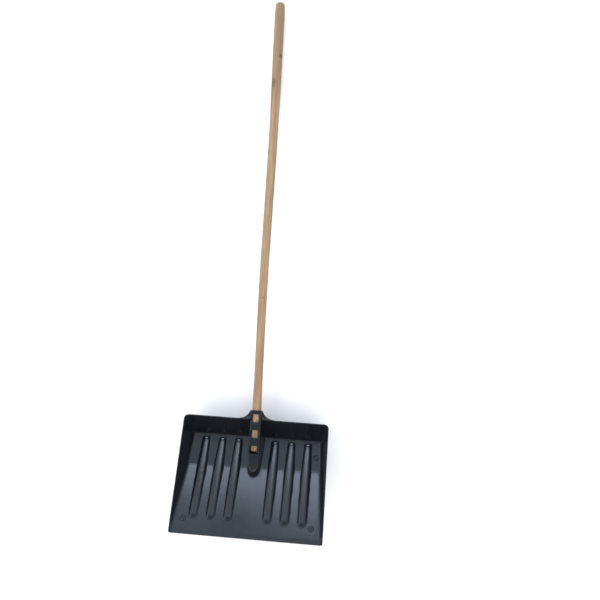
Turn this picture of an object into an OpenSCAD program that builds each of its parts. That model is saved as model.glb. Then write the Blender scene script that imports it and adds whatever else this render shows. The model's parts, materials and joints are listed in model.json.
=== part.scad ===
// Snow shovel with a moulded plastic scoop on a straight round wooden handle.
// It lies on its back: the heel of the scoop and the far end of the handle touch the ground.
// X runs across the scoop, +Y towards the free end of the handle, +Z up out of the tray.

/* [Handle] */
// Length of the wooden handle
handle_len = 1200; // [900:10:1400]
// Diameter of the handle along its middle
shaft_d = 23.6; // [22:0.2:24.8]
// Diameter of the handle inside the socket
tail_d = 25; // [24.8:0.1:25.2]
// Length of that diameter beyond the mouth of the socket
tail_out = 10; // [5:1:30]
// Diameter of the thicker stretch at the free end
grip_d = 26; // [25:0.5:30]
// Length of the thicker stretch
grip_len = 220; // [150:10:300]
// Length of the gentle tapers between the diameters
taper_len = 60; // [30:5:120]
// Rounding at the socket end of the handle
tail_round = 6; // [2:0.5:8]
// Rounding at the free end of the handle
crown_round = 8; // [4:0.5:10]

/* [Scoop] */
// Width across the cutting lip
lip_w = 398; // [340:2:440]
// Width across the top of the back wall
rim_w = 392; // [340:2:430]
// Width of the floor where it meets the back wall
heel_w = 366; // [320:2:400]
// Floor length from the back wall to the bend
heel_len = 84; // [60:2:100]
// Floor length from the bend to the lip
toe_len = 192; // [160:2:260]
// Height of the back wall, along its slope
wall_h = 90; // [60:2:110]
// Lean of the back wall away from square to the floor
wall_lean = 15; // [5:1:25]
// Angle between the toe of the floor and the handle
lift = 39.5; // [30:0.5:45]
// Bend between the two flats of the floor
floor_bend = 8; // [2:0.5:14]
// Wall thickness of the moulding
wall_t = 2.8; // [2:0.1:4]
// Length of the bevel along the lip
bevel_len = 10; // [6:1:16]
// Thickness left at the edge of the lip
edge_t = 1.4; // [1:0.1:2]

/* [Ribs and buttons] */
// Width of a rib
rib_w = 20; // [16:1:24]
// Height of a rib's ends above the floor; its straight crest stands higher over the bend
rib_h = 5; // [4:0.5:8]
// Length of the ramp at each end of a rib
rib_ramp = 6; // [3:1:10]
// Distance from the middle to the innermost rib on each side
rib_first_x = 52; // [45:1:60]
// Distance between neighbouring ribs
rib_pitch = 46; // [40:1:50]
// Number of ribs on each side of the socket
ribs_per_side = 3; // [1:1:3]
// Start of a rib above the bend
rib_above = 70; // [40:1:74]
// End of a rib below the bend
rib_below = 148; // [100:1:150]
// Diameter of the low round buttons near the corners
button_d = 16; // [10:1:20]
// Height of the buttons above the floor
button_h = 1.2; // [0.8:0.1:2]
// Distance from the middle to the buttons
button_x = 169; // [150:1:175]
// Single button beside the right side wall, distance above the bend
button_above = 39; // [30:1:60]
// Pair of buttons near the lip, distance below the bend
button_below = 153; // [130:1:165]

/* [Socket] */
// Outside diameter of the socket tube
tube_d = 30; // [29.6:0.2:32]
// Diameter of the hole for the handle
bore_d = 25.4; // [25.4:0.1:25.8]
// Distance from the handle's end to the mouth of the socket
mouth_y = 117; // [112:1:122]
// Distance from the handle's end to the tip of the nose
nose_y = 68; // [62:1:74]
// Height of the floor against the handle's middle line, at the tip of the nose
nose_drop = -1; // [-3:0.5:1]
// Distance from the tip of the nose up to the bend in the floor
nose_to_bend = 25; // [20:1:30]
// Length of a window
window_len = 23; // [18:1:24]
// Width of a window
window_w = 25; // [18:0.2:25]
// Distance from one window to the next
window_pitch = 43.5; // [42:0.5:44]
// Lower edge of the lowest window, above the handle's end
window_first_y = -2.5; // [-3:0.5:0]
// Thickness of the side flanks of the socket
flank_t = 2.6; // [2.2:0.1:3]
// Draft of the flanks, added to the half width at the floor
flank_draft = 3; // [1:0.5:5]
// Thickness of the wall that stops the handle
stop_t = 3; // [2:0.5:4]
// Gap between the stop wall and the handle's end
stop_gap = 4; // [3:0.5:5]
// Width of the narrow slit in the lower front band, and of the groove in the upper one
slit_w = 2.4; // [1:0.2:3]
// Distance of the slit from the middle
slit_x = -1; // [-6:0.5:0]
// Distance of the groove from the middle
groove_x = -4; // [-6:0.5:0]
// Length of the slit, down from the middle window
slit_len = 11.5; // [6:0.5:16]
// Plastic left under the groove
groove_skin = 0.8; // [0.6:0.1:1.6]
// Radius of the hollow curve from the back wall up to the socket
shoulder_r = 40; // [30:1:50]
// Distance from the middle to the foot of that curve
shoulder_x = 54; // [46:1:60]

/* [Screws] */
// Diameter of the screw heads
head_d = 8; // [7:0.2:9]
// Height of the screw heads
head_h = 2.6; // [2:0.2:3.4]
// Diameter of the screw shanks
shank_d = 4; // [3:0.1:4.5]
// Length of a screw below its head
screw_len = 20; // [16:1:22]
// Length of the screw's pointed tip
tip_len = 4; // [3:0.5:6]
// Clearance on the radius of the holes for the screws
hole_gap = 0.15; // [0.1:0.05:0.3]
// Diameter of the flat seat moulded under each head
seat_d = 12; // [10:0.5:14]
// Width of the cross recess in the head
cross_w = 1.2; // [0.8:0.1:1.6]
// Length of the cross recess in the head
cross_len = 4.6; // [3:0.2:5.4]
// Depth of the cross recess in the head
cross_depth = 1.6; // [1:0.1:2]

/* [Hidden] */
$fn = 64;

// The section is drawn in (y, z) with the handle's middle line at z = 0 and its lower end at y = 0.
ground_angle = lift - floor_bend;
toe_dir = [-cos(lift), sin(lift)];
heel_dir = [cos(ground_angle), -sin(ground_angle)];
wall_dir = [sin(ground_angle + wall_lean), cos(ground_angle + wall_lean)];
toe_out = [-sin(lift), -cos(lift)];
heel_out = [-sin(ground_angle), -cos(ground_angle)];
wall_out = [wall_dir[1], -wall_dir[0]];

nose = [-nose_y, nose_drop];
bend = nose - nose_to_bend * toe_dir;
lip = bend + toe_len * toe_dir;
heel = bend + heel_len * heel_dir;
rim = heel + wall_h * wall_dir;
bevel = lip - bevel_len * toe_dir;

// A corner moved out by t from both of the faces that meet there
function corner(p, a, b, t) = p + t * (a + b) / (1 + a * b);

bend_out = corner(bend, toe_out, heel_out, wall_t);
heel_corner = corner(heel, heel_out, wall_out, wall_t);
rim_out = rim + wall_t * wall_out;
lip_edge = lip + edge_t * toe_out;
lip_out = lip + wall_t * toe_out;
mouth_dir = (rim - lip) / norm(rim - lip);
mouth_up = [-mouth_dir[1], mouth_dir[0]];
margin = 40;
far = 400;

// Half width of the tray is linear in y and z: it passes through the heel, the rim and the lip.
rim_arm = rim - heel;
lip_arm = lip - heel;
rim_gain = (rim_w - heel_w) / 2;
lip_gain = (lip_w - heel_w) / 2;
arms = rim_arm[0] * lip_arm[1] - rim_arm[1] * lip_arm[0];
slope_y = (rim_gain * lip_arm[1] - lip_gain * rim_arm[1]) / arms;
slope_z = (lip_gain * rim_arm[0] - rim_gain * lip_arm[0]) / arms;
function half_width(p) = heel_w / 2 + slope_y * (p[0] - heel[0]) + slope_z * (p[1] - heel[1]);

// How far a solid reaches past or into the one that it cuts or joins
lap = 1;

tube_r = tube_d / 2;
bore_r = bore_d / 2;
nose_ball_y = tube_r + lap - nose_y;

// The flanks start inside the tube, this far above its middle line.
flank_top = 4;

// The channel behind the handle ends in a round hollow inside the nose, a little narrower than itself.
nose_wall = 2;
hollow_step = 0.6;
channel_r = tube_r - flank_t;
hollow_r = channel_r - hollow_step;
hollow_y = nose_ball_y + nose_wall;

// From here up to its mouth the socket is a plain tube, clear of the floor and the back wall.
collar_y = 60;

// Depth of the screw seats below the tube
saddle_drop = 1.5;

// The handle's ends: crown_y is where the crown starts to round off.
crown_y = handle_len - crown_round;

// Lying at rest: the heel's corner and the underside of the grip share one level.
rest_tilt = atan((-grip_d / 2 - heel_corner[1]) / (crown_y - heel_corner[0]));
function rest_y(p) = p[0] * cos(rest_tilt) + p[1] * sin(rest_tilt);
function rest_z(p) = p[1] * cos(rest_tilt) - p[0] * sin(rest_tilt);
crown_edge = [handle_len, grip_d / 2 - crown_round];
middle_y = (rest_y(lip_out) + rest_y(crown_edge)) / 2;
ground_z = rest_z(heel_corner);

// Lower edges of the three windows
window_ys = [for (i = [0:2]) window_first_y + i * window_pitch];
screw_ys = [window_ys[2] + window_len / 2, window_ys[1] + window_len / 2];
seat_z = -tube_r - saddle_drop;

// Points of an arc about c, in n steps from angle a0 to a1
function arc(c, r, a0, a1, n) = [
    for (i = [0:n]) c + r * [cos(a0 + (a1 - a0) * i / n), sin(a0 + (a1 - a0) * i / n)]
];

// Turns the working frame of the handle into the resting frame of the part
module at_rest() {
    translate([0, -middle_y, -ground_z])
        rotate([-rest_tilt, 0, 0])
            children();
}

// A section in (y, z), made w wide across X
module across(section, w) {
    translate([-w / 2, 0, 0])
        rotate([90, 0, 90])
            linear_extrude(w)
                polygon(section);
}

// A round bar along Y
module along_y(d, y0, y1) {
    translate([0, y0, 0])
        rotate([-90, 0, 0])
            cylinder(d = d, h = y1 - y0);
}

// Everything between the two sloping side planes, each moved out by t. It is a polyhedron because the
// planes lean in two directions, so its section changes along X.
module between_sides(t) {
    ends = [[-far, -far], [far, -far], [far, far], [-far, far]];
    polyhedron(
        points = [for (s = [-1, 1]) for (p = ends) [s * (half_width(p) + t), p[0], p[1]]],
        faces = [[0, 1, 2, 3], [7, 6, 5, 4], [4, 5, 1, 0], [5, 6, 2, 1], [6, 7, 3, 2], [7, 4, 0, 3]]
    );
}

// The solid wedge that the moulding is hollowed from
module outer_wedge() {
    intersection() {
        across([rim, rim_out, heel_corner, bend_out, lip_out, lip_edge, lip], lip_w + margin);
        between_sides(wall_t);
    }
}

// The hollow of the tray, open upwards, with the bevel along the lip
module tray() {
    edge_dir = (lip_edge - bevel) / norm(lip_edge - bevel);
    beyond = lip_edge + margin * edge_dir;
    open_side = [beyond + margin * mouth_up, rim + margin * (mouth_up + wall_dir)];
    intersection() {
        across(concat([rim + margin * wall_dir, heel, bend, bevel, beyond], open_side), lip_w + margin);
        between_sides(0);
    }
}

// A run along both flats of the floor, moved down by t, from its low end to its high end
function floor_run(t, low, high) = [
    bend + t * toe_out + low * toe_dir,
    corner(bend, toe_out, heel_out, t),
    bend + t * heel_out + high * heel_dir
];

// A rib's section: its foot is t below the floor and follows the bend, its crest runs straight from
// end to end, h above the floor there, and both ends are sloped by ramp.
function rib_section(h, t, ramp) = [
    for (i = [0, 2]) floor_run(-h, rib_below - ramp, rib_above - ramp)[i],
    for (i = [2, 1, 0]) floor_run(t, rib_below, rib_above)[i]
];

// One rib: a bar that bridges the bend between the two flats of the floor
module rib() {
    across(rib_section(rib_h, wall_t / 2, rib_ramp), rib_w);
}

// The groove that hollows a rib from below
module rib_groove() {
    across(rib_section(rib_h - wall_t, margin, 2 * rib_ramp), rib_w - 2 * wall_t);
}

module at_ribs() {
    for (side = [-1, 1])
        for (i = [0:ribs_per_side - 1])
            translate([side * (rib_first_x + i * rib_pitch), 0, 0])
                children();
}

// A low round button on a flat of the floor that leans by tilt, its middle y above the bend
module button(x, tilt, y) {
    translate([x, bend[0], bend[1]])
        rotate([-tilt, 0, 0])
            translate([0, y, -wall_t / 2])
                cylinder(d = button_d, h = wall_t / 2 + button_h);
}

module buttons() {
    for (side = [-1, 1])
        button(side * button_x, lift, -button_below);
    button(button_x, ground_angle, button_above);
}

// Everything above the outer faces of the floor and of the back wall
module above_shell() {
    top = [[rim_out[0] + far * wall_dir[0], far], [-far, far]];
    floor_side = [lip_out + margin * toe_dir, bend_out, heel_corner, rim_out + far * wall_dir];
    across(concat(floor_side, top), tube_d + 2 * margin);
}

// The rounded boss that carries the handle, with its flanks down to the floor
module boss() {
    intersection() {
        union() {
            translate([0, nose_ball_y, 0])
                sphere(tube_r);
            along_y(tube_d, nose_ball_y, collar_y);
            translate([0, rim[0], 0])
                rotate([90, 0, 0])
                    linear_extrude(rim[0] - nose_ball_y)
                        polygon([
                            [lap - tube_r, flank_top],
                            [-tube_r - flank_draft, -heel_len],
                            [tube_r + flank_draft, -heel_len],
                            [tube_r - lap, flank_top]
                        ]);
        }
        above_shell();
    }
    along_y(tube_d, collar_y, mouth_y);
}

// The flange between the rim and the socket, with a hollow curve on each side
module shoulders() {
    translate([0, 0, rim_out[1] - lap])
        linear_extrude(wall_t)
            difference() {
                translate([-shoulder_x, rim[0] - wall_t])
                    square([2 * shoulder_x, mouth_y - rim[0] + wall_t]);
                for (side = [-1, 1])
                    translate([side * shoulder_x, rim[0] + shoulder_r])
                        circle(shoulder_r);
            }
}

module at_windows() {
    for (y = window_ys)
        translate([0, y, 0])
            children();
}

// The openings in the front of the socket, each with a saddle behind it
module windows() {
    at_windows()
        translate([-window_w / 2, 0, 0])
            cube([window_w, window_len, tube_d]);
}

// A narrow cut through the front of the socket
module front_cut(x, y0, y1) {
    translate([x - slit_w / 2, y0, 0])
        cube([slit_w, y1 - y0, tube_d]);
}

// The slit that starts from the middle window
module slit() {
    front_cut(slit_x, window_ys[1] - slit_len, window_ys[1] + lap);
}

// The groove across the upper front band, which stops short of the handle
module groove() {
    low_y = window_ys[1] + window_len - lap;
    high_y = window_ys[2] + lap;
    difference() {
        front_cut(groove_x, low_y, high_y);
        along_y(bore_d + 2 * groove_skin, low_y - lap, high_y + lap);
    }
}

// The channel open to the back, which leaves the saddles and the stop wall standing
module channel() {
    difference() {
        translate([-channel_r, hollow_y, -far])
            cube([2 * channel_r, mouth_y + lap - hollow_y, far]);
        at_windows()
            along_y(tube_d, 0, window_len);
        translate([-tube_r, -stop_gap - stop_t, -tube_d])
            cube([tube_d, stop_t, tube_d]);
        screw_seats();
    }
    translate([0, hollow_y, 0])
        sphere(hollow_r);
    along_y(2 * hollow_r, hollow_y, -stop_gap - stop_t);
}

// Flat round seats under the screw heads
module screw_seats() {
    for (y = screw_ys)
        translate([0, y, seat_z])
            cylinder(d = seat_d, h = -seat_z - bore_r / 2);
}

// Round holes through a saddle and into the handle
module screw_holes() {
    for (y = screw_ys)
        translate([0, y, seat_z - lap])
            cylinder(r = shank_d / 2 + hole_gap, h = screw_len + 2 * lap);
}

module scoop() {
    color([0.25, 0.28, 0.31])
        at_rest()
            difference() {
                union() {
                    difference() {
                        outer_wedge();
                        tray();
                    }
                    at_ribs()
                        rib();
                    buttons();
                    boss();
                    shoulders();
                    screw_seats();
                }
                at_ribs()
                    rib_groove();
                channel();
                along_y(bore_d, -stop_gap, mouth_y + lap);
                windows();
                slit();
                groove();
                screw_holes();
            }
}

module handle() {
    tail_r = tail_d / 2;
    shaft_r = shaft_d / 2;
    grip_r = grip_d / 2;
    grip_y = handle_len - grip_len;
    tail_y = mouth_y + tail_out;
    outline = concat(
        [[0, 0]],
        arc([tail_r - tail_round, tail_round], tail_round, -90, 0, 8),
        [[tail_r, tail_y], [shaft_r, tail_y + taper_len]],
        [[shaft_r, grip_y - taper_len], [grip_r, grip_y]],
        arc([grip_r - crown_round, crown_y], crown_round, 0, 90, 12),
        [[0, handle_len]]
    );
    color([0.78, 0.63, 0.46])
        at_rest()
            difference() {
                rotate([90, 0, 180])
                    rotate_extrude($fn = 96)
                        polygon(outline);
                screw_holes();
            }
}

// A pan-head wood screw, pointing up from its seat
module screw(y) {
    shank_r = shank_d / 2;
    color([0.72, 0.73, 0.74])
        at_rest()
            translate([0, y, seat_z])
                difference() {
                    rotate_extrude()
                        polygon(concat(
                            [[0, -head_h]],
                            arc([head_d / 2 - head_h, 0], head_h, -90, 0, 8),
                            [[shank_r, 0], [shank_r, screw_len - tip_len], [0, screw_len]]
                        ));
                    for (turn = [0, 90])
                        rotate([0, 0, turn])
                            translate([-cross_len / 2, -cross_w / 2, -head_h - lap])
                                cube([cross_len, cross_w, cross_depth + lap]);
                }
}

module upper_screw() {
    screw(screw_ys[0]);
}

module lower_screw() {
    screw(screw_ys[1]);
}

scoop();
handle();
upper_screw();
lower_screw();
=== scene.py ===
import json
import math

import bmesh
import bpy
import numpy as np
from mathutils import Matrix, Vector


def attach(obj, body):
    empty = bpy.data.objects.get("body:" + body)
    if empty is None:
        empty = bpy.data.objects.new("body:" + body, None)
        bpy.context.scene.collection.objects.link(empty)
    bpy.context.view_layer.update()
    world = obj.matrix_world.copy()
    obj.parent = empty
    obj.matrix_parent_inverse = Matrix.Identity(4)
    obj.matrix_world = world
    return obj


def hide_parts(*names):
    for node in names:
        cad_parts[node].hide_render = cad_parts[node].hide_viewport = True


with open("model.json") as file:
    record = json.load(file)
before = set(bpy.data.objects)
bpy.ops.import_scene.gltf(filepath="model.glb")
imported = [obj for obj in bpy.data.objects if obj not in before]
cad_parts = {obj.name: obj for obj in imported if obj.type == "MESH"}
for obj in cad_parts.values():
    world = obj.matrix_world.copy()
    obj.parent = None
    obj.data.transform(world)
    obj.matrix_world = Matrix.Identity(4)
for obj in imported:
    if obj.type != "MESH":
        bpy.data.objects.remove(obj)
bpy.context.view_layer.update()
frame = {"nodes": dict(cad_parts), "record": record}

# Lengths are in metres. Shapes are worked out in the handle's own frame: X across the scoop,
# +Y up the handle from its lower end at 0, +Z out of the tray. REST lays that frame on the ground.

# Distance up the handle to the middle of its grip, where the record has a mount
GRIP_MIDDLE = 1.086

# The tray's section, as (y, z)
LIFT = math.radians(39.5)
FLOOR_BEND = math.radians(8)
GROUND = LIFT - FLOOR_BEND
WALL_LEAN = math.radians(15)
NOSE = np.array([-0.068, -0.001])
NOSE_TO_BEND = 0.025
HEEL_LEN = 0.084
TOE_LEN = 0.192
WALL_H = 0.090
LIP_W = 0.398
RIM_W = 0.392
HEEL_W = 0.366
WALL_T = 0.0028
LIP_T = 0.0014
BEVEL_LEN = 0.010

# Rounding of the sheet's free edges: EDGE_R, but at most EDGE_SHARE of a thin edge
EDGE_R = 0.0006
EDGE_SHARE = 0.45

# Rounding between the faces of the tray
BEND_BLEND = 0.0014
HEEL_R = 0.0035
SIDE_R = 0.010
CORNER_R = 0.009
LIP_CORNER_R = 0.004
FLANGE_R = 0.006

# Ribs; lists run from the lower end over the bend to the upper end, and slopes are sideways per depth
RIB_XS = [0.052, 0.098, 0.144]
RIB_HIGH = 0.0780
RIB_LOW = 0.150
RIB_HIGH_H = 0.0038
RIB_LOW_H = 0.0058
RIB_HALF_WIDTHS = [0.0106, 0.0110, 0.0088]
RIB_SLOPE = 0.12
RIB_END_SLOPE = 0.35
RIB_DOME_RS = [0.022, 0.022, 0.019]
RIB_NOSE_R = 0.014
RIB_BLUNTNESS = 2.25
RIB_CROWN_R = 0.0022
RIB_FOOT_R = 0.0014

# Socket; across THIN_X and THIN_Y the wall goes over from the tray's thickness to BOSS_T
MOUTH_Y = 0.117
BOSS_TOP = 0.0150
BOSS_W = 0.0148
BOSS_DRAFT = 0.09
NOSE_SLOPE = 0.80
NOSE_Y = -0.028
NOSE_NARROWING = 0.62
BOSS_EDGE_R = 0.0036
BOSS_FOOT_R = 0.0020
BOSS_T = 0.0023
THIN_X = (0.024, 0.020)
THIN_Y = (-0.075, -0.065)
FLANGE_Z = 0.0045
SHOULDER_X = 0.054
SHOULDER_R = 0.040
SHOULDER_LAP = 0.004
WINDOW_W = 0.0128
WINDOW_LEN = 0.023
WINDOW_YS = [-0.0025, 0.041, 0.0845]
SLIT = (-0.0022, 0.0002)
SLIT_LEN = 0.0115
GROOVE = (-0.0052, -0.0028)
GROOVE_DEPTH = 0.0019
# Thickness of a dark plastic floor under the groove, put in place of the shade seen through the slit
# there
GROOVE_SHADE_FLOOR_T = 0.0004
SADDLE_R = (0.0127, 0.0150)
SADDLE_EDGE_R = 0.0005
SADDLE_TURNS = (-176, -4)
SEAT_Z = (-0.0165, -0.0128)
SEAT_R = 0.006
SEAT_EDGE_R = 0.0005
SCREW_HOLE_R = 0.00215
STOP_LOW = (-0.0138, -0.007, -0.030)
STOP_HIGH = (0.0138, -0.004, 0.0135)
STOP_EDGE_R = 0.0006
LAP = 0.001

# Low round buttons near the corners, as (radius, height): a pip in the middle inside a raised ring
BUTTON_X = 0.169
BUTTON_HIGH = 0.039
BUTTON_LOW = 0.153
BUTTON_R = 0.008
BUTTON_PROFILE = [
    (0.0002, 0.0026), (0.0012, 0.0024), (0.0020, 0.0016), (0.0030, 0.0011), (0.0044, 0.0012),
    (0.0054, 0.0020), (0.0062, 0.0022), (0.0070, 0.0016), (BUTTON_R, 0), (BUTTON_R, -0.0012),
    (0.0002, -0.0012),
]


def direction(angle):
    """A unit step in (y, z), at an angle from +Y towards +Z."""
    return np.array([math.cos(angle), math.sin(angle)])


TOE_DIR = direction(math.pi - LIFT)
HEEL_DIR = direction(-GROUND)
WALL_DIR = direction(math.pi / 2 - GROUND - WALL_LEAN)
TOE_UP = direction(math.pi / 2 - LIFT)
HEEL_UP = direction(math.pi / 2 - GROUND)
WALL_UP = direction(math.pi - GROUND - WALL_LEAN)
BEND = NOSE - NOSE_TO_BEND * TOE_DIR
LIP = BEND + TOE_LEN * TOE_DIR
HEEL = BEND + HEEL_LEN * HEEL_DIR
RIM = HEEL + WALL_H * WALL_DIR


def rest_matrix():
    """From the handle's frame to the row frame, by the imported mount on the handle's axis."""
    mount = next(m for m in frame["record"]["mounts"] if m["name"] == "grip_end")
    along = Vector(mount["axis"]).normalized()
    across = Vector((1, 0, 0))
    up = across.cross(along)
    origin = Vector(mount["pos_m"]) - GRIP_MIDDLE * along
    turn = Matrix((across, along, up)).transposed()
    return Matrix.Translation(origin) @ turn.to_4x4()


REST = rest_matrix()


# ---------------------------------------------------------------- distance functions


def share(value, start, end):
    """How far value has come from start to end, held between 0 and 1."""
    return np.clip((value - start) / (end - start), 0, 1)


def plane(point, up, y, z):
    """Height over a plane that contains the X direction."""
    return (y - point[0]) * up[0] + (z - point[1]) * up[1]


def round_union(a, b, r):
    """Joins two solids, given by their distances, with a fillet of radius r."""
    return np.maximum(r, np.minimum(a, b)) - np.hypot(np.maximum(r - a, 0), np.maximum(r - b, 0))


def round_cut(a, b, r):
    """What two solids have in common, with the edge rounded by r."""
    return -round_union(-a, -b, r)


def side_slopes():
    """Growth of the tray's half width with y and z: through the heel, the rim and the lip."""
    arms = np.array([RIM - HEEL, LIP - HEEL])
    gains = np.array([(RIM_W - HEEL_W) / 2, (LIP_W - HEEL_W) / 2])
    return np.linalg.solve(arms, gains)


SIDE_SLOPES = side_slopes()


def half_width(y, z):
    """Half the tray's width, inside its side walls."""
    return HEEL_W / 2 + SIDE_SLOPES[0] * (y - HEEL[0]) + SIDE_SLOPES[1] * (z - HEEL[1])


def mouth_z(y):
    """Height of the plane through the rim and the lip."""
    return LIP[1] + (y - LIP[0]) * (RIM[1] - LIP[1]) / (RIM[0] - LIP[0])


def floor_distance(y, z):
    """Both flats of the floor; they meet at a shallow angle, so the fillet is a parabola."""
    toe = plane(BEND, TOE_UP, y, z)
    heel = plane(BEND, HEEL_UP, y, z)
    near = np.maximum(BEND_BLEND - np.abs(toe - heel), 0)
    return np.minimum(toe, heel) - near**2 / (4 * BEND_BLEND)


def tongue_distance(aside, past, depth, half, side_slope, end_slope, bluntness=2.0):
    """A bar's flanks: they slope out from the sides of its crest, and more gently at its round end."""
    out = (aside**bluntness + past**bluntness) ** (1 / bluntness)
    ahead = (past / np.maximum(out, 1e-6)) ** 3
    slope = side_slope + (end_slope - side_slope) * ahead
    return (out - half - slope * depth) / np.hypot(1, slope)


def rib_distance(x, y, z):
    """Bars with a straight crest that bridges the bend of the floor."""
    low = BEND + RIB_LOW * TOE_DIR + RIB_LOW_H * TOE_UP
    high = BEND + RIB_HIGH * HEEL_DIR + RIB_HIGH_H * HEEL_UP
    crest_dir = (high - low) / np.linalg.norm(high - low)
    crest_up = np.array([-crest_dir[1], crest_dir[0]])
    above = plane(low, crest_up, y, z)
    along = (y - BEND[0]) * crest_dir[0] + (z - BEND[1]) * crest_dir[1]
    stops = [-RIB_LOW, 0, RIB_HIGH]
    half = np.interp(along, stops, RIB_HALF_WIDTHS)
    dome_r = np.interp(along, stops, RIB_DOME_RS)
    first = -RIB_LOW + RIB_HALF_WIDTHS[0] + RIB_END_SLOPE * RIB_LOW_H
    last = RIB_HIGH - RIB_HALF_WIDTHS[2] - RIB_END_SLOPE * RIB_HIGH_H
    past = np.maximum(along - last, 0) + np.maximum(first - along, 0)
    aside = np.min([np.abs(np.abs(x) - rib_x) for rib_x in RIB_XS], axis=0)
    flank = tongue_distance(aside, past, -above, half, RIB_SLOPE, RIB_END_SLOPE, RIB_BLUNTNESS)
    crown = above + aside**2 / (2 * dome_r) + past**2 / (2 * RIB_NOSE_R)
    return round_cut(crown, flank, RIB_CROWN_R)


def boss_distance(x, y, z):
    """The front of the socket, which ends in a rounded nose."""
    past = NOSE_NARROWING * np.maximum(NOSE_Y - y, 0)
    flank = tongue_distance(np.abs(x), past, BOSS_TOP - z, BOSS_W, BOSS_DRAFT, NOSE_SLOPE)
    return round_cut(z - BOSS_TOP, flank, BOSS_EDGE_R)


def scoop_distance(x, y, z):
    """The working face of the whole moulding: tray, flange, ribs and socket."""
    wall = plane(HEEL, WALL_UP, y, z)
    wall = round_cut(wall, z - FLANGE_Z, FLANGE_R)
    tray = round_union(floor_distance(y, z), wall, HEEL_R)
    side = (half_width(y, z) - np.abs(x)) / math.hypot(1, *SIDE_SLOPES)
    tray = round_union(tray, side, SIDE_R)
    tray = round_union(tray, rib_distance(x, y, z), RIB_FOOT_R)
    return round_union(tray, boss_distance(x, y, z), BOSS_FOOT_R)


SEARCH_LOW = -0.10
SEARCH_HIGH = 0.15
SEARCH_STEPS = 30
SLOPE_STEP = 2e-5


def surface_height(x, y):
    """Height of the scoop's working face over each (x, y), by bisection."""
    low = np.full(x.shape, SEARCH_LOW)
    high = np.full(x.shape, SEARCH_HIGH)
    for _ in range(SEARCH_STEPS):
        middle = (low + high) / 2
        below = scoop_distance(x, y, middle) < 0
        low = np.where(below, middle, low)
        high = np.where(below, high, middle)
    return (low + high) / 2


def surface_normals(x, y, z):
    """Unit normals of the working face, from the slope of its distance."""
    step = SLOPE_STEP
    slope = [
        scoop_distance(x + step, y, z) - scoop_distance(x - step, y, z),
        scoop_distance(x, y + step, z) - scoop_distance(x, y - step, z),
        scoop_distance(x, y, z + step) - scoop_distance(x, y, z - step),
    ]
    normal = np.stack(slope, axis=-1)
    return normal / np.linalg.norm(normal, axis=-1, keepdims=True)


# ---------------------------------------------------------------- the scoop's grid


def stations(*stops):
    """Positions from stop to stop; each stop but the last is (position, step after it)."""
    made = []
    for (start, step), end in zip(stops, [s[0] for s in stops[1:]]):
        count = max(1, round((end - start) / step))
        made.extend(np.linspace(start, end, count, endpoint=False))
    return np.array([*made, stops[-1][0]])


def rounded_corner(distance, r):
    """How far a corner of radius r draws the side in, at a distance before the corner's end."""
    left = np.clip(r - distance, 0, r)
    return r - np.sqrt(r * r - left * left)


# Rows run straight across below STRETCH_Y, and bend with the shoulders from there to the back edge.
STRETCH_Y = 0.070
RIM_Y = RIM[0] - EDGE_R * WALL_DIR[0]
FRONT_Y = LIP[0] + EDGE_R * math.cos(LIFT)

# Stretches of y with finer rows: the lower ends of the ribs, the nose and the heel
RIB_END_ROWS = (-0.163, -0.138)
NOSE_ROWS = (-0.072, -0.034)
HEEL_ROWS = (0.012, 0.034)

# Columns of the socket, as far as the foot of its flanks
FLANK_COLUMNS = (0.0152, 0.0235)
FOOT_COLUMNS = (0.028, 0.030)
INNER_X = stations(
    (0, 0.0002), (SLIT[1], 0.001), (-SLIT[0], 0.0006), (-GROOVE[1], 0.0012), (-GROOVE[0], 0.0013),
    (WINDOW_W, 0.0004), (FLANK_COLUMNS[0], 0.0005), (FLANK_COLUMNS[1], 0.0011),
    (FOOT_COLUMNS[0], 0.0015), (FOOT_COLUMNS[1], 0),
)

# Columns over the floor, then up each side wall from a little inside its foot
FLOOR_COLUMNS = 68
WALL_COLUMNS = 15
WALL_FOOT = 0.010


def row_positions():
    """Rows in y up to STRETCH_Y, then shares of the way from there to the back edge."""
    first, second, third = WINDOW_YS
    bevel_end = LIP[0] + BEVEL_LEN * math.cos(LIFT)
    rows = stations(
        (FRONT_Y, 0.0011), (bevel_end, 0.0022), (RIB_END_ROWS[0], 0.0015), (RIB_END_ROWS[1], 0.0022),
        (NOSE_ROWS[0], 0.0012), (NOSE_ROWS[1], 0.0019), (first, 0.002), (HEEL_ROWS[0], 0.0014),
        (first + WINDOW_LEN, 0.0013), (second - SLIT_LEN, 0.0014), (HEEL_ROWS[1], 0.002),
        (second, 0.0021), (second + WINDOW_LEN, 0.002), (STRETCH_Y, 0),
    )
    mouth = MOUTH_Y - EDGE_R
    window_shares = [share(y, STRETCH_Y, mouth) for y in (third, third + WINDOW_LEN)]
    shares = stations((0, 0.045), (window_shares[0], 0.045), (window_shares[1], 0.02), (1, 0))
    return rows, shares


def back_edge(x):
    """The back edge in plan: the rim, the hollow shoulders and the mouth of the socket."""
    inside = np.clip(SHOULDER_X - np.abs(x), 0, SHOULDER_R - 1e-6)
    curve = RIM_Y + SHOULDER_R - np.sqrt(SHOULDER_R**2 - inside**2)
    return np.minimum(curve, MOUTH_Y - EDGE_R)


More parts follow.
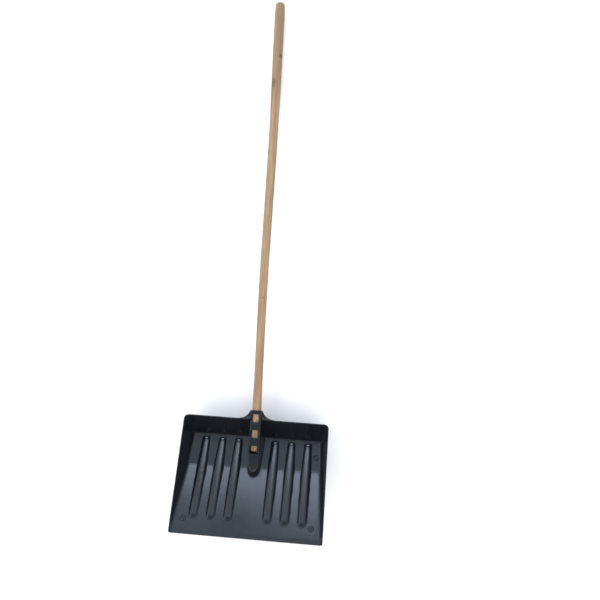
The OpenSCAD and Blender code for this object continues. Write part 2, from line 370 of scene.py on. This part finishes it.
def column_positions(y):
    """Positions of the columns of one half at height y, from the middle to the side's edge."""
    toe_z = BEND[1] - (y - BEND[0]) * math.tan(LIFT)
    heel_z = BEND[1] - (y - BEND[0]) * math.tan(GROUND)
    wall_z = RIM[1] + (y - RIM[0]) * WALL_DIR[1] / WALL_DIR[0]
    foot = half_width(y, max(toe_z, heel_z, wall_z))
    edge = half_width(y, mouth_z(y)) - EDGE_R * SIDE_SLOPES[1]
    edge -= rounded_corner(RIM_Y - y, CORNER_R) + rounded_corner(y - FRONT_Y, LIP_CORNER_R)
    start = min(foot, edge) - WALL_FOOT
    flat = np.linspace(INNER_X[-1], start, FLOOR_COLUMNS + 1)[1:]
    side = np.linspace(start, edge, WALL_COLUMNS + 1)[1:]
    return np.concatenate([INNER_X, flat, side])


def mirrored(half):
    """Columns on both sides of the middle, from those of one side."""
    return np.concatenate([-half[:0:-1], half])


def scoop_grid():
    """x and y of every grid point, rows first."""
    rows, shares = row_positions()
    xs, ys = [], []
    for y in rows:
        xs.append(mirrored(column_positions(y)))
        ys.append(np.full(len(xs[-1]), y))
    for part in shares[1:]:
        xs.append(mirrored(column_positions(STRETCH_Y + part * (RIM_Y - STRETCH_Y))))
        ys.append(STRETCH_Y + part * (back_edge(xs[-1]) - STRETCH_Y))
    return np.array(xs), np.array(ys)


def kept_cells(x, y):
    """True for each grid cell that is plastic, False in the windows, the slit and the groove."""
    cx = (x[:-1, :-1] + x[1:, 1:]) / 2
    cy = (y[:-1, :-1] + y[1:, 1:]) / 2
    open_cell = np.zeros(cx.shape, bool)
    for start in WINDOW_YS:
        open_cell |= (np.abs(cx) < WINDOW_W) & (cy > start) & (cy < start + WINDOW_LEN)
    slit = (cx > SLIT[0]) & (cx < SLIT[1])
    groove = (cx > GROOVE[0]) & (cx < GROOVE[1])
    open_cell |= groove & (cy > WINDOW_YS[1] + WINDOW_LEN) & (cy < WINDOW_YS[2])
    open_cell |= slit & (cy > WINDOW_YS[1] - SLIT_LEN) & (cy < WINDOW_YS[1])
    return ~open_cell


def edge_round(point, out, inward, r, turns):
    """Points of a quarter round that leaves a face at point and turns outwards, at angles in degrees."""
    angles = [math.radians(turn) for turn in turns]
    return [point + r * (out * math.sin(a) + inward * (1 - math.cos(a))) for a in angles]


def thick_sheet(bm, top, normal, thickness, keep):
    """Gives a grid thickness and closes its edges with a small round, all in one closed mesh."""
    rows, columns = keep.shape[0] + 1, keep.shape[1] + 1
    bottom = top - normal * thickness[..., None]
    upper = [[None] * columns for _ in range(rows)]
    lower = [[None] * columns for _ in range(rows)]
    edges = {}

    def vertex(table, points, i, j):
        if table[i][j] is None:
            table[i][j] = bm.verts.new(points[i, j])
        return table[i][j]

    for i, j in zip(*np.nonzero(keep)):
        corners = [(i, j), (i, j + 1), (i + 1, j + 1), (i + 1, j)]
        bm.faces.new([vertex(upper, top, *c) for c in corners])
        bm.faces.new([vertex(lower, bottom, *c) for c in reversed(corners)])
        for a, b in zip(corners, corners[1:] + corners[:1]):
            if (b, a) in edges:
                del edges[(b, a)]
            else:
                edges[(a, b)] = True

    outward = {}
    for a, b in edges:
        run = top[b] - top[a]
        out = np.cross(run, normal[a] + normal[b])
        out /= np.linalg.norm(out)
        for corner in (a, b):
            outward.setdefault(corner, []).append(out)

    rings = {}
    for corner, outs in outward.items():
        out = np.sum(outs, axis=0)
        out *= len(outs) / max(np.dot(out, out), 1.0)
        r = min(EDGE_R, EDGE_SHARE * thickness[corner])
        up = normal[corner]
        shoulder = edge_round(top[corner], out, -up, r, (45, 90))
        shoulder += edge_round(bottom[corner], out, up, r, (90, 45))
        i, j = corner
        rings[corner] = [upper[i][j], *map(bm.verts.new, shoulder), lower[i][j]]

    for a, b in edges:
        for k in range(len(rings[a]) - 1):
            bm.faces.new([rings[b][k], rings[a][k], rings[a][k + 1], rings[b][k + 1]])


def moulded_sheet(bm):
    """The moulding's wall, cut off at the mouth plane beside the shoulders and bevelled at the lip."""
    x, y = scoop_grid()
    z = surface_height(x, y)
    normal = surface_normals(x, y, z)
    outside = np.abs(x) > SHOULDER_X - SHOULDER_LAP
    z = np.where(outside, np.minimum(z, mouth_z(y)), z)
    top = np.stack([x, y, z], axis=-1)
    near_boss = share(np.abs(x), *THIN_X) * share(y, *THIN_Y)
    thickness = WALL_T + (BOSS_T - WALL_T) * near_boss
    to_lip = (y - LIP[0]) / math.cos(LIFT)
    thinner = (WALL_T - LIP_T) * share(to_lip, BEVEL_LEN, 0)
    top = top - normal * thinner[..., None]
    thick_sheet(bm, top, normal, thickness - thinner, kept_cells(x, y))


# ---------------------------------------------------------------- smaller solids of the scoop


def closed_grid(bm, points, wrap_u, wrap_v):
    """Faces over a grid of points; the grid closes on itself where wrap says so."""
    verts = [[bm.verts.new(p) for p in row] for row in points]
    rows, columns = len(verts), len(verts[0])
    for i in range(rows if wrap_u else rows - 1):
        for j in range(columns if wrap_v else columns - 1):
            bm.faces.new([
                verts[i][j], verts[i][(j + 1) % columns],
                verts[(i + 1) % rows][(j + 1) % columns], verts[(i + 1) % rows][j],
            ])
    return verts


def rounded_section(u0, u1, v0, v1, r, count=3):
    """A rectangle with rounded corners as a loop of (u, v)."""
    centres = [(u1 - r, v1 - r), (u0 + r, v1 - r), (u0 + r, v0 + r), (u1 - r, v0 + r)]
    loop = []
    for quarter, (cu, cv) in enumerate(centres):
        for k in range(count + 1):
            a = math.radians(90 * quarter + 90 * k / count)
            loop.append((cu + r * math.cos(a), cv + r * math.sin(a)))
    return loop


def saddle(bm, y0, y1):
    """A half ring behind the handle."""
    section = rounded_section(*SADDLE_R, y0, y1, SADDLE_EDGE_R)
    turns = np.radians(np.linspace(*SADDLE_TURNS, 44))
    points = [[(r * math.cos(a), y, r * math.sin(a)) for r, y in section] for a in turns]
    verts = closed_grid(bm, points, False, True)
    bm.faces.new(verts[0])
    bm.faces.new(list(reversed(verts[-1])))


def lathe(bm, profile, centre, axis_u, axis_v, axis_w, count=40):
    """Turns a closed loop of (radius, height) about axis_w through centre."""
    points = []
    for k in range(count):
        a = 2 * math.pi * k / count
        out = math.cos(a) * np.array(axis_u) + math.sin(a) * np.array(axis_v)
        points.append([np.array(centre) + r * out + h * np.array(axis_w) for r, h in profile])
    closed_grid(bm, points, True, True)


def button(bm, x, along):
    """A low round button, square to the flat it stands on: the toe where along is negative."""
    up = TOE_UP if along < 0 else HEEL_UP
    way = -TOE_DIR if along < 0 else HEEL_DIR
    centre = (x, *(BEND + along * way))
    lathe(bm, BUTTON_PROFILE, centre, (1, 0, 0), (0, *way), (0, *up))


def block(bm, low, high, r):
    """A box with rounded edges along Y."""
    section = rounded_section(low[0], high[0], low[2], high[2], r)
    points = [[(u, y, v) for u, v in section] for y in (low[1], high[1])]
    verts = closed_grid(bm, points, False, True)
    bm.faces.new(verts[0])
    bm.faces.new(list(reversed(verts[-1])))


def screw_seat(bm, y):
    """A round pad with a hole, flat under the screw's head, on the back of a saddle."""
    low, high = SEAT_Z
    ring = [
        (SCREW_HOLE_R, low), (SEAT_R - SEAT_EDGE_R, low),
        (SEAT_R - 0.2 * SEAT_EDGE_R, low + 0.4 * SEAT_EDGE_R), (SEAT_R, low + SEAT_EDGE_R),
        (SEAT_R, high), (SCREW_HOLE_R, high),
    ]
    lathe(bm, ring, (0, y, 0), (1, 0, 0), (0, 1, 0), (0, 0, 1))


def groove_shade_floor(bm):
    """A thin dark plastic floor under the groove in the upper band, in place of the shade seen through
    the slit there.
    """
    top = BOSS_TOP - GROOVE_DEPTH
    low = (GROOVE[0] - LAP, WINDOW_YS[1] + WINDOW_LEN, top - GROOVE_SHADE_FLOOR_T)
    high = (GROOVE[1] + LAP, WINDOW_YS[2], top)
    block(bm, low, high, GROOVE_SHADE_FLOOR_T / 4)


def finish_mesh(bm, name, slots):
    """Makes a piece in the row frame; its attribute keeps each point's place in the handle's frame."""
    bmesh.ops.recalc_face_normals(bm, faces=bm.faces)
    mesh = bpy.data.meshes.new(name)
    bm.to_mesh(mesh)
    bm.free()
    local = np.zeros(len(mesh.vertices) * 3)
    mesh.vertices.foreach_get("co", local)
    place = mesh.attributes.new("place", "FLOAT_VECTOR", "POINT")
    place.data.foreach_set("vector", local)
    mesh.transform(REST)
    mesh.shade_smooth()
    for material in slots:
        mesh.materials.append(material)
    piece = bpy.data.objects.new(name, mesh)
    bpy.context.scene.collection.objects.link(piece)
    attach(piece, "root")
    return piece


def build_scoop(plastic):
    """The moulding: its wall, and behind the socket the saddles, screw seats and stop wall."""
    bm = bmesh.new()
    moulded_sheet(bm)
    for start in WINDOW_YS:
        saddle(bm, start - LAP, start + WINDOW_LEN + LAP)
    for start in WINDOW_YS[1:]:
        screw_seat(bm, start + WINDOW_LEN / 2)
    block(bm, STOP_LOW, STOP_HIGH, STOP_EDGE_R)
    # A dark floor under the upper band's groove, standing in for the shade seen through it
    groove_shade_floor(bm)
    for x, along in ((-BUTTON_X, -BUTTON_LOW), (BUTTON_X, -BUTTON_LOW), (BUTTON_X, BUTTON_HIGH)):
        button(bm, x, along)
    piece = finish_mesh(bm, "scoop_moulding", [plastic])
    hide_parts("scoop")
    return piece


# ---------------------------------------------------------------- the handle

TAIL_Y = 0.0025
HANDLE_END = 1.1997
TAIL_R = 0.0125
SHAFT_R = 0.0118
GRIP_R = 0.0130
CROWN_R = 0.0090
SEGMENTS = 56

# Radius along the stick, as (y, radius): rounded tail, socket, shaft, grip, rounded crown
HANDLE_PROFILE = [
    (TAIL_Y, 0.0086), (0.0035, 0.0102), (0.0055, 0.0117), (0.009, TAIL_R), (0.127, TAIL_R),
    (0.190, SHAFT_R), (0.900, SHAFT_R), (0.985, GRIP_R), (1.170, GRIP_R), (1.190, 0.0124),
    (1.1955, 0.0117), (1.1985, 0.0105), (HANDLE_END, CROWN_R),
]

# Sideways bow of the stick beyond the socket, and the depths left by planing
BOW_START = 0.130
BOW_DEPTH = 0.0021
PLANED_Y = (0.125, 0.175)
FLAT_DEPTH = 0.00014
WAVE_DEPTH = 0.00018


def bow(y):
    """How far the stick's middle line lies to one side: a shallow S."""
    free = share(y, BOW_START, HANDLE_END)
    return BOW_DEPTH * np.sin(2 * math.pi * free) * -np.sin(math.pi * free) ** 0.5


def planing(y, turn):
    """Seven shallow flats round the stick, and waves along it; none in the socket."""
    loose = share(y, *PLANED_Y)
    flats = 0.5 + 0.5 * np.cos(7 * turn + 3.0 * np.sin(2.1 * y) + 0.8)
    waves = 0.5 + 0.5 * np.sin(31 * y + 2 * np.sin(turn + 4 * y)) * np.sin(2 * turn + 9 * y)
    return -loose * (FLAT_DEPTH * flats + WAVE_DEPTH * waves)


def end_face(bm, ring):
    """Closes one end of the stick with rings of end grain round a middle point."""
    centre = sum((v.co for v in ring), Vector()) / SEGMENTS
    rim = ring
    for size in (0.75, 0.5, 0.25):
        inner = [bm.verts.new(centre.lerp(v.co, size)) for v in ring]
        for k in range(SEGMENTS):
            after = (k + 1) % SEGMENTS
            bm.faces.new([rim[k], rim[after], inner[after], inner[k]]).material_index = 1
        rim = inner
    hub = bm.verts.new(centre)
    for k in range(SEGMENTS):
        bm.faces.new([rim[k], rim[(k + 1) % SEGMENTS], hub]).material_index = 1


def build_handle(wood, end_grain):
    """The stick, ring by ring, with an end-grain face at each end."""
    bm = bmesh.new()
    ys = stations(
        (TAIL_Y, 0.0007), (0.010, 0.004), (0.130, 0.006), (1.155, 0.004), (1.188, 0.0008),
        (HANDLE_END, 0),
    )
    turns = np.linspace(0, 2 * math.pi, SEGMENTS, endpoint=False)
    points = []
    for y in ys:
        radii = np.interp(y, *zip(*HANDLE_PROFILE)) + planing(y, turns)
        points.append([(bow(y) + r * math.cos(t), y, r * math.sin(t)) for r, t in zip(radii, turns)])
    verts = closed_grid(bm, points, False, True)
    for ring in (verts[0], verts[-1]):
        end_face(bm, ring)
    piece = finish_mesh(bm, "wooden_handle", [wood, end_grain])
    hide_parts("handle")
    return piece


# ---------------------------------------------------------------- materials


class Nodes:
    """A short way to write a material's node tree."""

    def __init__(self, name):
        self.material = bpy.data.materials.new(name)
        self.material.use_nodes = True
        self.tree = self.material.node_tree
        self.shader = self.tree.nodes["Principled BSDF"]

    def add(self, kind, **inputs):
        node = self.tree.nodes.new(kind)
        for key, value in inputs.items():
            self.set(node, key, value)
        return node

    def feed(self, socket, value):
        """Links a socket to another node's output, or gives it a plain value."""
        if isinstance(value, bpy.types.NodeSocket):
            self.tree.links.new(value, socket)
        else:
            socket.default_value = value

    def set(self, node, key, value):
        if key in node.inputs:
            self.feed(node.inputs[key], value)
        else:
            setattr(node, key, value)

    def place(self):
        """Where a point lies in the handle's frame, in metres."""
        return self.add("ShaderNodeAttribute", attribute_name="place").outputs["Vector"]

    def place_parts(self):
        parts = self.add("ShaderNodeSeparateXYZ", Vector=self.place()).outputs
        return parts["X"], parts["Y"], parts["Z"]

    def stretched(self, scale):
        node = self.add("ShaderNodeMapping", Vector=self.place(), Scale=scale)
        return node.outputs["Vector"]

    def noise(self, vector, scale, detail=4.0, roughness=0.55, distortion=0.0):
        node = self.add(
            "ShaderNodeTexNoise", Vector=vector, Scale=scale, Detail=detail, Roughness=roughness,
            Distortion=distortion,
        )
        return node.outputs["Fac"]

    def ramp(self, value, low, high, out_low=0.0, out_high=1.0):
        """A smooth step from out_low at low to out_high at high."""
        node = self.add("ShaderNodeMapRange", Value=value)
        node.interpolation_type = "SMOOTHSTEP"
        node.inputs["From Min"].default_value = low
        node.inputs["From Max"].default_value = high
        node.inputs["To Min"].default_value = out_low
        node.inputs["To Max"].default_value = out_high
        return node.outputs["Result"]

    def math(self, operation, a, b=0.0):
        node = self.add("ShaderNodeMath")
        node.operation = operation
        for socket, value in zip(node.inputs, (a, b)):
            self.feed(socket, value)
        return node.outputs["Value"]

    def distance(self, a, b):
        return self.math("ABSOLUTE", self.math("SUBTRACT", a, b))

    def squared(self, value, middle=0.0, half=1.0):
        """The square of how far value lies from middle, counted in halves."""
        return self.math("POWER", self.math("DIVIDE", self.math("SUBTRACT", value, middle), half), 2.0)

    def mix(self, amount, a, b):
        """A colour between a and b; the numbers are the mix node's sockets for colours."""
        node = self.add("ShaderNodeMix")
        node.data_type = "RGBA"
        for number, value in ((0, amount), (6, a), (7, b)):
            self.feed(node.inputs[number], value)
        return node.outputs[2]

    def bump(self, height, distance, strength=1.0, normal=None):
        node = self.add("ShaderNodeBump", Height=height, Distance=distance, Strength=strength)
        if normal is not None:
            self.tree.links.new(normal, node.inputs["Normal"])
        return node.outputs["Normal"]


# Painted highlights: pale spots in the plastic's colour at the upper ends of the ribs, each with a thin
# pale arc beyond it, in place of glints on the rounded rib ends and their fillets. Listed below: how far
# they lie from the bend towards the heel, the half size of a spot across and lengthwise, the arc's
# radius and half width, and the heights above the floor there over which they fade out.
HIGHLIGHT_S = 0.0735
HIGHLIGHT_HALF = (0.0034, 0.0013)
HIGHLIGHT_ARC_R = 0.0085
HIGHLIGHT_ARC_HALF = 0.0006
HIGHLIGHT_LEVELS = (0.008, 0.012)


def painted_rib_end_highlights(n):
    """How strongly the painted highlights show, at the ribs' upper ends and nowhere higher up the back
    wall.
    """
    x, y, z = n.place_parts()
    highlight_centre = BEND + HIGHLIGHT_S * HEEL_DIR
    off_middle = n.distance(n.math("ABSOLUTE", x), RIB_XS[1])
    aside = n.math("MINIMUM", off_middle, n.distance(off_middle, RIB_XS[2] - RIB_XS[1]))
    across = n.squared(aside, half=HIGHLIGHT_HALF[0])
    lengthwise = n.squared(y, highlight_centre[0], HIGHLIGHT_HALF[1])
    spot = n.ramp(n.math("ADD", across, lengthwise), 0.4, 1.6, 0.9, 0.0)
    from_centre = n.math("SUBTRACT", y, highlight_centre[0] - HIGHLIGHT_ARC_R / 2)
    out = n.math("SQRT", n.math("ADD", n.squared(aside), n.squared(from_centre)))
    arc = n.ramp(n.distance(out, HIGHLIGHT_ARC_R), HIGHLIGHT_ARC_HALF / 2, HIGHLIGHT_ARC_HALF * 1.5, 0.22, 0.0)
    arc = n.math("MULTIPLY", arc, n.ramp(from_centre, HIGHLIGHT_ARC_R / 3, HIGHLIGHT_ARC_R * 0.8))
    near_floor = n.ramp(z, highlight_centre[1] + HIGHLIGHT_LEVELS[0], highlight_centre[1] + HIGHLIGHT_LEVELS[1], 1.0, 0.0)
    return n.math("MULTIPLY", n.math("MAXIMUM", spot, arc), near_floor)


def plastic_material():
    """Black-grey moulded plastic: slight clouds and flow marks, fine scratches up and down the tray, and
    painted highlights at the ribs' upper ends.
    """
    deep, light = (0.0072, 0.0092, 0.0122, 1), (0.0096, 0.0120, 0.0154, 1)
    flow_mark = (0.013, 0.016, 0.020, 1)
    # The pale colour of the painted highlights at the ribs' upper ends
    highlight_pale = (0.40, 0.43, 0.46, 1)
    n = Nodes("black_plastic")
    here = n.stretched((1, 1, 1))
    cloud = n.noise(here, 9.0, 3.0)
    flow = n.noise(n.stretched((30, 6, 6)), 1.0, 4.0)
    scratches = n.noise(n.stretched((900, 25, 25)), 1.0, 3.0)
    colour = n.mix(n.ramp(cloud, 0.3, 0.7), deep, light)
    colour = n.mix(n.ramp(flow, 0.50, 0.80, 0.0, 0.4), colour, flow_mark)
    # Painted highlights: pale spots and arcs at the ribs' upper ends, mixed into the colour
    colour = n.mix(painted_rib_end_highlights(n), colour, highlight_pale)
    dullness = n.ramp(scratches, 0.5, 0.8, 0.0, 0.05)
    normal = n.bump(n.noise(here, 90.0, 3.0), 0.0004, 0.25)
    normal = n.bump(n.noise(here, 1400.0, 2.0), 0.00006, 0.5, normal)
    normal = n.bump(scratches, 0.00004, 0.4, normal)
    n.set(n.shader, "Base Color", colour)
    n.set(n.shader, "Roughness", n.math("ADD", n.ramp(cloud, 0.3, 0.7, 0.15, 0.19), dullness))
    n.set(n.shader, "Normal", normal)
    n.shader.inputs["IOR"].default_value = 1.42
    n.shader.inputs["Specular Tint"].default_value = (0.84, 0.92, 1.0, 1.0)
    return n.material


# Knots, cracks and stains of the handle: x, y, half sizes across and lengthwise, and strength
WOOD_MARKS = [
    (0.0005, 0.053, 0.0008, 0.016, 0.85),
    (-0.0045, 0.097, 0.0016, 0.004, 0.5),
    (0.003, 0.090, 0.0014, 0.005, 0.4),
    (-0.002, 0.012, 0.0030, 0.004, 0.6),
    (0.005, 0.006, 0.0024, 0.003, 0.5),
    (0.001, 0.424, 0.0013, 0.003, 0.8),
    (0.002, 0.630, 0.0012, 0.014, 0.45),
    (-0.009, 0.813, 0.0020, 0.0035, 0.8),
    (-0.005, 0.990, 0.0060, 0.016, 0.45),
    (0.010, 1.061, 0.0045, 0.006, 0.75),
]

# Painted shade: black on the stick's sides in the socket, where they lie in shadow under the window
# edges; in X from its middle and in Y up to the mouth
GAP_SHADE_MIDDLE = 0.0010
GAP_SHADE_X = (0.0096, 0.0108)
GAP_SHADE_Y = (MOUTH_Y - 0.006, MOUTH_Y - 0.002)


def soiling(n, y):
    """How soiled the wood is along the stick: in the socket, a little on the shaft, more on the grip."""
    shaft = n.ramp(y, 0.14, 0.30, 0.0, 0.14)
    grip = n.ramp(y, 0.92, 1.00, 0.0, 0.22)
    socket = n.ramp(y, 0.02, 0.118, 0.55, 0.0)
    return n.math("ADD", n.math("ADD", shaft, grip), socket)


def wood_material():
    """Planed hardwood with straight grain along Y, and painted shade on its sides in the socket."""
    spring, summer = (0.30, 0.185, 0.102, 1), (0.43, 0.280, 0.160, 1)
    streak, pore = (0.205, 0.117, 0.058, 1), (0.12, 0.066, 0.034, 1)
    # The black is painted shade for the stick's sides in the socket
    soil, knot, black = (0.115, 0.072, 0.036, 1), (0.050, 0.018, 0.010, 1), (0.004, 0.004, 0.004, 1)
    n = Nodes("planed_wood")
    x, y, _ = n.place_parts()
    broad = n.noise(n.stretched((70, 2.2, 70)), 1.0, 3.0, 0.5, 0.6)
    fine = n.noise(n.stretched((420, 9, 420)), 1.0, 5.0, 0.6)
    pores = n.noise(n.stretched((1500, 60, 1500)), 1.0, 2.0)
    colour = n.mix(n.ramp(broad, 0.35, 0.65), spring, summer)
    colour = n.mix(n.ramp(fine, 0.40, 0.70, 0.0, 0.7), colour, streak)
    colour = n.mix(n.ramp(pores, 0.55, 0.70, 0.0, 0.6), colour, pore)
    colour = n.mix(soiling(n, y), colour, soil)
    raggedness = n.ramp(fine, 0.3, 0.7, -0.4, 0.4)
    for mark_x, mark_y, half_x, half_y, depth in WOOD_MARKS:
        oval = n.math("ADD", n.squared(x, mark_x, half_x), n.squared(y, mark_y, half_y))
        colour = n.mix(n.ramp(n.math("ADD", oval, raggedness), 0.2, 1.2, depth, 0.0), colour, knot)
    # Painted shade: the stick's sides in the socket go black, where they lie in shadow under the window
    # edges
    in_socket = n.ramp(y, *GAP_SHADE_Y, 0.93, 0.0)
    gap_shade = n.math("MULTIPLY", in_socket, n.ramp(n.distance(x, GAP_SHADE_MIDDLE), *GAP_SHADE_X))
    normal = n.bump(fine, 0.0004, 0.5)
    normal = n.bump(pores, 0.0001, 0.4, normal)
    n.set(n.shader, "Base Color", n.mix(gap_shade, colour, black))
    n.set(n.shader, "Roughness", n.ramp(fine, 0.3, 0.7, 0.55, 0.72))
    n.set(n.shader, "Normal", normal)
    return n.material


# Growth rings: where their middle lies, and how fast they follow each other, in radians per metre
PITH_X = -0.02
RING_RATE = 2600.0


def end_grain_material():
    """Sawn ends: growth rings round a pith that lies beside the stick."""
    early, late, pore = (0.36, 0.23, 0.13, 1), (0.50, 0.34, 0.21, 1), (0.22, 0.13, 0.07, 1)
    n = Nodes("end_grain")
    x, _, z = n.place_parts()
    radius = n.math("SQRT", n.math("ADD", n.squared(x, PITH_X), n.squared(z)))
    rings = n.math("SINE", n.math("MULTIPLY", radius, RING_RATE))
    grain = n.noise(n.stretched((900, 900, 900)), 1.0, 3.0)
    colour = n.mix(n.ramp(rings, -1.0, 1.0), early, late)
    n.set(n.shader, "Base Color", n.mix(n.ramp(grain, 0.5, 0.8, 0.0, 0.5), colour, pore))
    n.set(n.shader, "Roughness", n.ramp(grain, 0.3, 0.7, 0.7, 0.85))
    n.set(n.shader, "Normal", n.bump(grain, 0.0003, 0.6))
    return n.material


def zinc_material():
    """Zinc-plated steel, a little cloudy."""
    dull, bright = (0.55, 0.56, 0.56, 1), (0.70, 0.71, 0.70, 1)
    n = Nodes("zinc_plated_steel")
    here = n.add("ShaderNodeTexCoord").outputs["Object"]
    cloud = n.noise(here, 400.0, 3.0)
    n.set(n.shader, "Base Color", n.mix(n.ramp(cloud, 0.3, 0.7), dull, bright))
    n.set(n.shader, "Roughness", n.ramp(cloud, 0.3, 0.7, 0.28, 0.42))
    n.set(n.shader, "Normal", n.bump(cloud, 0.00005, 0.5))
    n.shader.inputs["Metallic"].default_value = 1.0
    return n.material


def ground_material():
    """A pale, matt floor."""
    shade, pale = (0.91, 0.91, 0.91, 1), (0.94, 0.94, 0.94, 1)
    n = Nodes("pale_ground")
    here = n.add("ShaderNodeTexCoord").outputs["Object"]
    n.set(n.shader, "Base Color", n.mix(n.noise(here, 3.0, 3.0), shade, pale))
    n.shader.inputs["Roughness"].default_value = 0.9
    return n.material


# ---------------------------------------------------------------- studio

# The camera in the handle's frame: its place, and its turn as an axis times an angle in radians.
# Lens and sensor are in millimetres.
CAMERA_EYE = (0.1922, 0.5059, 1.6095)
CAMERA_TURN = (-0.0498, 0.0591, 0.0628)
CAMERA_LENS = 36.0
CAMERA_SENSOR = 36.0
GROUND_SIZE = 6.0

SKY = (0.90, 1.0, 1.16)
WARM = (1.0, 0.985, 0.96)
SURROUND = (0.97, 1.0, 1.04, 1)
SURROUND_STRENGTH = 0.56
TRAY = Vector((0, -0.62, 0.10))
MIDDLE = Vector((0, 0, 0))

# Softboxes: name, target, distance, azimuth, lowest and highest elevation, spread, power, colour.
# The toe of the floor mirrors the low ones, and its heel mirrors the dimmer high one.
SOFTBOXES = [
    ("low_beyond_the_handle", TRAY, 3.2, 2, (18, 29.4), 41, 34, SKY),
    ("low_right_of_the_handle", TRAY, 3.2, -7, (29.4, 31.6), 18, 3, SKY),
    ("high_beyond_the_handle", TRAY, 3.4, 4, (34, 70), 60, 29, SKY),
    ("foot_fill", MIDDLE, 3.4, 180, (15, 57), 100, 80, WARM),
    ("left_fill", MIDDLE, 3.4, 90, (15, 57), 100, 84, WARM),
    ("right_fill", MIDDLE, 3.4, 270, (15, 57), 100, 46, WARM),
]


def add_camera():
    """The view of the photo."""
    data = bpy.data.cameras.new("camera")
    data.lens = CAMERA_LENS
    data.sensor_width = CAMERA_SENSOR
    data.clip_end = 50.0
    camera = bpy.data.objects.new("camera", data)
    bpy.context.scene.collection.objects.link(camera)
    turn = Vector(CAMERA_TURN)
    local = Matrix.Translation(CAMERA_EYE) @ Matrix.Rotation(turn.length, 4, turn.normalized())
    camera.matrix_world = REST @ local
    bpy.context.scene.camera = camera


def add_softbox(name, target, reach, azimuth, elevations, spread, power, colour):
    """A softbox placed by how its target sees it: azimuth from +Y towards -X, and angles in degrees."""
    low, high = (math.radians(angle) for angle in elevations)
    middle = (low + high) / 2
    turn = math.radians(azimuth)
    flat = math.cos(middle)
    way = Vector((-math.sin(turn) * flat, math.cos(turn) * flat, math.sin(middle)))
    data = bpy.data.lights.new(name, "AREA")
    data.shape = "RECTANGLE"
    data.size = 2 * reach * math.tan(math.radians(spread / 2))
    data.size_y = 2 * reach * math.tan((high - low) / 2)
    data.energy = power
    data.color = colour
    lamp = bpy.data.objects.new(name, data)
    bpy.context.scene.collection.objects.link(lamp)
    lamp.location = target + reach * way
    lamp.rotation_euler = (-way).to_track_quat("-Z", "Y").to_euler()


def add_ground():
    """A wide floor, which belongs to the studio and not to the shovel."""
    bm = bmesh.new()
    bmesh.ops.create_grid(bm, x_segments=8, y_segments=8, size=GROUND_SIZE)
    mesh = bpy.data.meshes.new("ground")
    bm.to_mesh(mesh)
    bm.free()
    mesh.materials.append(ground_material())
    ground = bpy.data.objects.new("ground", mesh)
    bpy.context.scene.collection.objects.link(ground)


def add_surround():
    """Even light from all round, shown without a film curve."""
    world = bpy.data.worlds.new("studio")
    world.use_nodes = True
    background = world.node_tree.nodes["Background"]
    background.inputs["Color"].default_value = SURROUND
    background.inputs["Strength"].default_value = SURROUND_STRENGTH
    bpy.context.scene.world = world
    bpy.context.scene.view_settings.view_transform = "Standard"


def main():
    build_scoop(plastic_material())
    build_handle(wood_material(), end_grain_material())
    zinc = zinc_material()
    for node in ("upper_screw", "lower_screw"):
        for slot in frame["nodes"][node].material_slots:
            slot.material = zinc
    add_camera()
    add_ground()
    for softbox in SOFTBOXES:
        add_softbox(*softbox)
    add_surround()


main()
